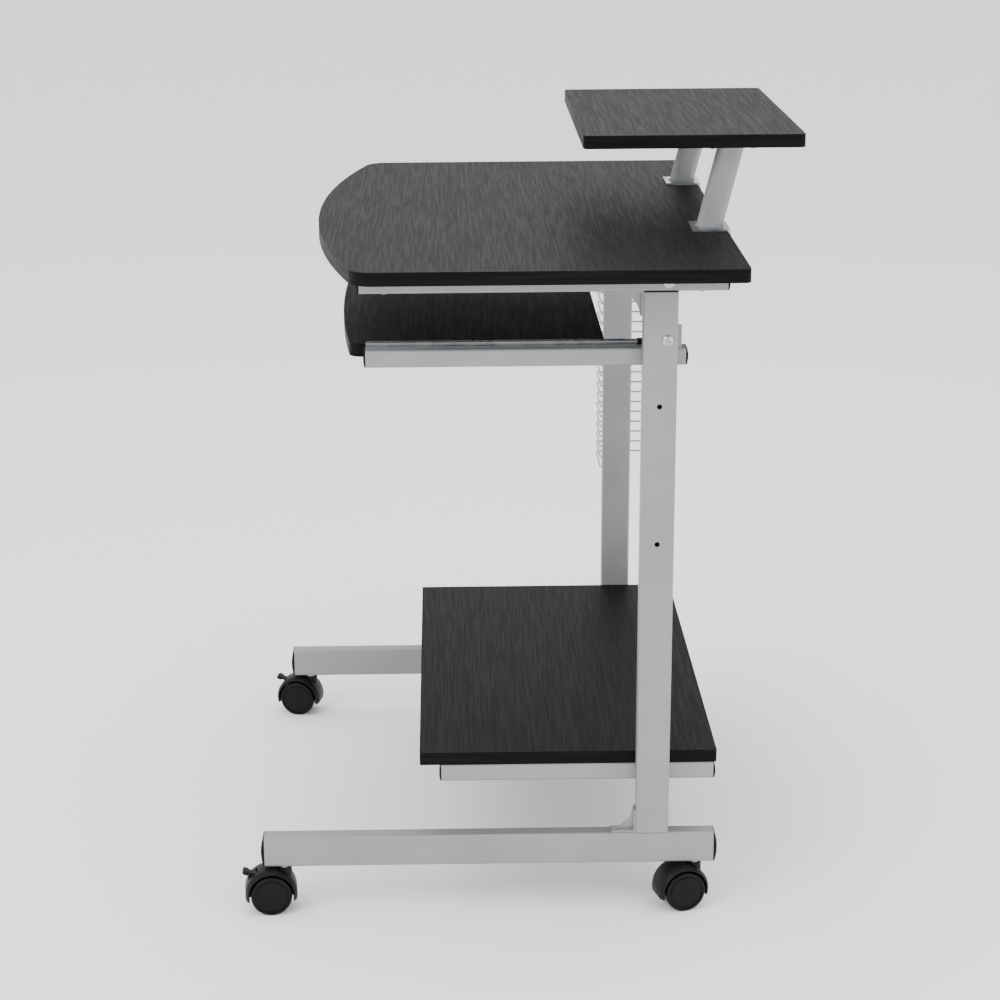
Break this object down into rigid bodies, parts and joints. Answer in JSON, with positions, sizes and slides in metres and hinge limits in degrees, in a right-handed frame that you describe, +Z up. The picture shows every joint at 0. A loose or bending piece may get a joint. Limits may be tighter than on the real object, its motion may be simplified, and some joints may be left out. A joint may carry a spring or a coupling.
{
  "type": "computer desk",
  "caption": "Rolling computer desk with bowed worktop, raised shelf, sliding keyboard tray, lower shelf and wire disc rack.",
  "frame": {"origin": "floor level, in the middle of the footprint", "axes": "+Z up, +X to the seated user's right, the user sits at -Y"},
  "size_m": [0.7616, 0.6513, 0.884],
  "materials": {
    "board": "black woodgrain laminate, semi-gloss",
    "edge_banding": "black edge band",
    "tube": "silver-grey powder coat",
    "zinc": "bright zinc plate",
    "plastic": "satin black",
    "wheel": "black nylon"
  },
  "bodies": {
    "frame": {"desktop": "board", "desktop_band": "edge_banding", "riser_shelf": "board", "riser_band": "edge_banding", "lower_shelf": "board", "lower_shelf_band": "edge_banding", "foot_left": "tube", "foot_right": "tube", "post_left": "tube", "post_right": "tube", "desk_rail_left": "tube", "desk_rail_right": "tube", "tray_rail_left": "tube", "tray_rail_right": "tube", "shelf_rail_left": "tube", "shelf_rail_right": "tube", "cross_bar": "tube", "post_top_plugs": "plastic", "foot_caps": "plastic", "rail_caps": "plastic", "frame_plates": "tube", "riser_leg_left": "tube", "riser_leg_right": "tube", "riser_brackets": "zinc", "riser_top_plates": "zinc", "board_screws": "zinc", "frame_bolts": "zinc", "slide_screws": "zinc", "slide_outer_left": "zinc", "slide_outer_right": "zinc", "slide_rear_stops": "plastic", "rack_frame": "zinc", "rack_wires": "zinc", "caster_stems": "zinc"},
    "tray": {"keyboard_tray": "board", "tray_band": "edge_banding", "slide_inner_left": "zinc", "slide_inner_right": "zinc", "slide_front_caps": "plastic", "tray_screws": "zinc"},
    "cage_left": {"ball_cage_left": "zinc"},
    "cage_right": {"ball_cage_right": "zinc"},
    "caster_fl": {"hood_fl": "plastic", "pins_fl": "zinc"},
    "wheel_fl_in": {"wheel_fl_in": "wheel"},
    "wheel_fl_out": {"wheel_fl_out": "wheel"},
    "caster_fr": {"hood_fr": "plastic", "pins_fr": "zinc"},
    "wheel_fr_in": {"wheel_fr_in": "wheel"},
    "wheel_fr_out": {"wheel_fr_out": "wheel"},
    "caster_rl": {"hood_rl": "plastic", "pins_rl": "zinc"},
    "wheel_rl_in": {"wheel_rl_in": "wheel"},
    "wheel_rl_out": {"wheel_rl_out": "wheel"},
    "caster_rr": {"hood_rr": "plastic", "pins_rr": "zinc"},
    "wheel_rr_in": {"wheel_rr_in": "wheel"},
    "wheel_rr_out": {"wheel_rr_out": "wheel"},
    "brake_left": {"brake_lever_left": "plastic"},
    "brake_right": {"brake_lever_right": "plastic"}
  },
  "joints": [
    {"name": "tray_slide", "type": "slide", "parent": "frame", "child": "tray", "axis": [0, -1, 0], "range_m": [0, 0.2]},
    {"name": "cage_left_slide", "type": "slide", "parent": "frame", "child": "cage_left", "axis": [0, -1, 0], "range_m": [0, 0.1]},
    {"name": "cage_right_slide", "type": "slide", "parent": "frame", "child": "cage_right", "axis": [0, -1, 0], "range_m": [0, 0.1]},
    {"name": "swivel_fl", "type": "hinge", "parent": "frame", "child": "caster_fl", "pos_m": [-0.28615, -0.275, 0.052], "axis": [0, 0, 1], "continuous": true},
    {"name": "spin_fl_in", "type": "hinge", "parent": "caster_fl", "child": "wheel_fl_in", "pos_m": [-0.28948, -0.29065, 0.024], "axis": [0.9781, -0.2079, 0], "continuous": true},
    {"name": "spin_fl_out", "type": "hinge", "parent": "caster_fl", "child": "wheel_fl_out", "pos_m": [-0.28948, -0.29065, 0.024], "axis": [0.9781, -0.2079, 0], "continuous": true},
    {"name": "swivel_fr", "type": "hinge", "parent": "frame", "child": "caster_fr", "pos_m": [0.31585, -0.275, 0.052], "axis": [0, 0, 1], "continuous": true},
    {"name": "spin_fr_in", "type": "hinge", "parent": "caster_fr", "child": "wheel_fr_in", "pos_m": [0.31724, -0.29094, 0.024], "axis": [0.9962, 0.0872, 0], "continuous": true},
    {"name": "spin_fr_out", "type": "hinge", "parent": "caster_fr", "child": "wheel_fr_out", "pos_m": [0.31724, -0.29094, 0.024], "axis": [0.9962, 0.0872, 0], "continuous": true},
    {"name": "swivel_rl", "type": "hinge", "parent": "frame", "child": "caster_rl", "pos_m": [-0.28615, 0.204, 0.052], "axis": [0, 0, 1], "continuous": true},
    {"name": "spin_rl_in", "type": "hinge", "parent": "caster_rl", "child": "wheel_rl_in", "pos_m": [-0.28476, 0.18806, 0.024], "axis": [0.9962, 0.0872, 0], "continuous": true},
    {"name": "spin_rl_out", "type": "hinge", "parent": "caster_rl", "child": "wheel_rl_out", "pos_m": [-0.28476, 0.18806, 0.024], "axis": [0.9962, 0.0872, 0], "continuous": true},
    {"name": "swivel_rr", "type": "hinge", "parent": "frame", "child": "caster_rr", "pos_m": [0.31585, 0.204, 0.052], "axis": [0, 0, 1], "continuous": true},
    {"name": "spin_rr_in", "type": "hinge", "parent": "caster_rr", "child": "wheel_rr_in", "pos_m": [0.32026, 0.18862, 0.024], "axis": [0.9613, 0.2756, 0], "continuous": true},
    {"name": "spin_rr_out", "type": "hinge", "parent": "caster_rr", "child": "wheel_rr_out", "pos_m": [0.32026, 0.18862, 0.024], "axis": [0.9613, 0.2756, 0], "continuous": true},
    {"name": "brake_left_press", "type": "hinge", "parent": "caster_fl", "child": "brake_left", "pos_m": [-0.29329, -0.30857, 0.04583], "axis": [0.9781, -0.2079, 0], "range_deg": [0, 25]},
    {"name": "brake_right_press", "type": "hinge", "parent": "caster_fr", "child": "brake_right", "pos_m": [0.31884, -0.30919, 0.04583], "axis": [0.9962, 0.0872, 0], "range_deg": [0, 25]}
  ],
  "couplings": [
    {"joint": "cage_left_slide", "follows": "tray_slide", "ratio": 0.5},
    {"joint": "cage_right_slide", "follows": "tray_slide", "ratio": 0.5}
  ]
}
